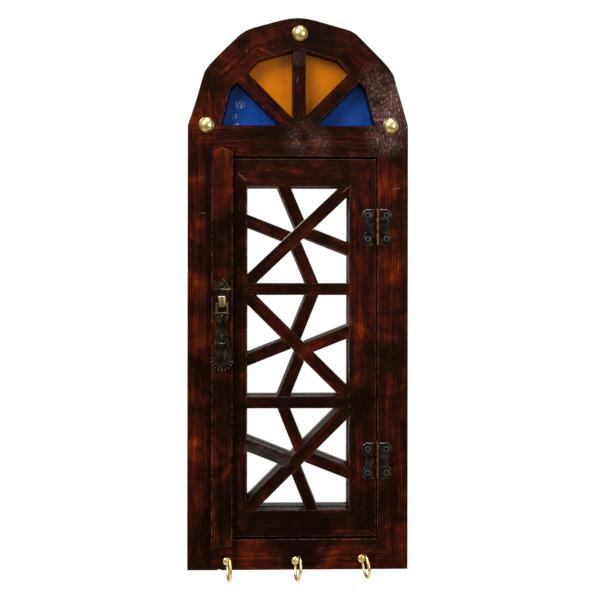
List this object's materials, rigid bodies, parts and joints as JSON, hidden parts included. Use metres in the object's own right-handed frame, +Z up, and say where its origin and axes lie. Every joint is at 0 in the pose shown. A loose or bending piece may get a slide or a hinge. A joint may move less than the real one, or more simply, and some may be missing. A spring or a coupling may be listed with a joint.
{
  "type": "key cabinet",
  "caption": "Wall-hung wooden key cabinet with an arched painted fanlight, a hinged lattice door over a mirror, a drop pull and cup hooks below.",
  "frame": {"origin": "middle of the cabinet's back, on the wall", "axes": "+Z up, +X to the right seen from the front, +Y into the wall, the front faces -Y"},
  "size_m": [0.2, 0.0734, 0.5068],
  "materials": {
    "stained_wood": "mahogany stain under worn semi-gloss varnish",
    "amber_paint": "glossy amber paint on glass, opaque",
    "blue_paint": "glossy blue paint on glass, opaque, with a few scratches",
    "mirror_glass": "back-silvered mirror",
    "hardboard": "plain brown hardboard",
    "polished_brass": "polished",
    "antique_bronze": "antique bronze plate, rubbed through to copper on the high points",
    "zinc_steel": "zinc plated",
    "brown_plastic": "matt moulded plastic"
  },
  "bodies": {
    "cabinet": {"stile_left": "stained_wood", "stile_right": "stained_wood", "rail_bottom": "stained_wood", "rail_header": "stained_wood", "arch_segment_1": "stained_wood", "arch_segment_2": "stained_wood", "arch_segment_3": "stained_wood", "arch_segment_4": "stained_wood", "arch_segment_5": "stained_wood", "arch_segment_6": "stained_wood", "fan_spoke_left": "stained_wood", "fan_spoke_centre": "stained_wood", "fan_spoke_right": "stained_wood", "pane_blue_left": "blue_paint", "pane_amber_left": "amber_paint", "pane_amber_right": "amber_paint", "pane_blue_right": "blue_paint", "fan_backing": "hardboard", "back_panel": "hardboard", "hanger_plate_left": "zinc_steel", "hanger_plate_right": "zinc_steel", "key_rack_upper": "polished_brass", "key_rack_lower": "polished_brass", "magnet_catch": "brown_plastic", "dome_nail_top": "polished_brass", "dome_nail_left": "polished_brass", "dome_nail_right": "polished_brass", "hook_left": "polished_brass", "hook_centre": "polished_brass", "hook_right": "polished_brass", "hinge_upper_frame_leaf": "antique_bronze", "hinge_upper_pin": "antique_bronze", "screw_upper_frame_high": "antique_bronze", "screw_upper_frame_low": "antique_bronze", "hinge_lower_frame_leaf": "antique_bronze", "hinge_lower_pin": "antique_bronze", "screw_lower_frame_high": "antique_bronze", "screw_lower_frame_low": "antique_bronze"},
    "door": {"door_stile_latch": "stained_wood", "door_stile_hinge": "stained_wood", "door_rail_top": "stained_wood", "door_rail_bottom": "stained_wood", "muntin_upper": "stained_wood", "muntin_lower": "stained_wood", "lattice_star_upper": "stained_wood", "lattice_star_middle": "stained_wood", "lattice_star_lower": "stained_wood", "mirror": "mirror_glass", "mirror_backer": "hardboard", "cover_strip": "stained_wood", "catch_strike": "zinc_steel", "pull_backplate": "antique_bronze", "pull_loop": "polished_brass", "hinge_upper_door_leaf": "antique_bronze", "screw_upper_door_high": "antique_bronze", "screw_upper_door_low": "antique_bronze", "hinge_lower_door_leaf": "antique_bronze", "screw_lower_door_high": "antique_bronze", "screw_lower_door_low": "antique_bronze"},
    "pull": {"pull_drop": "antique_bronze"}
  },
  "joints": [
    {"name": "door_hinge", "type": "hinge", "parent": "cabinet", "child": "door", "pos_m": [0.0715, -0.0521, 0], "axis": [0, 0, 1], "range_deg": [0, 170]},
    {"name": "pull_swing", "type": "hinge", "parent": "door", "child": "pull", "pos_m": [-0.0685, -0.062, -0.00936], "axis": [-1, 0, 0], "range_deg": [0, 85]}
  ]
}
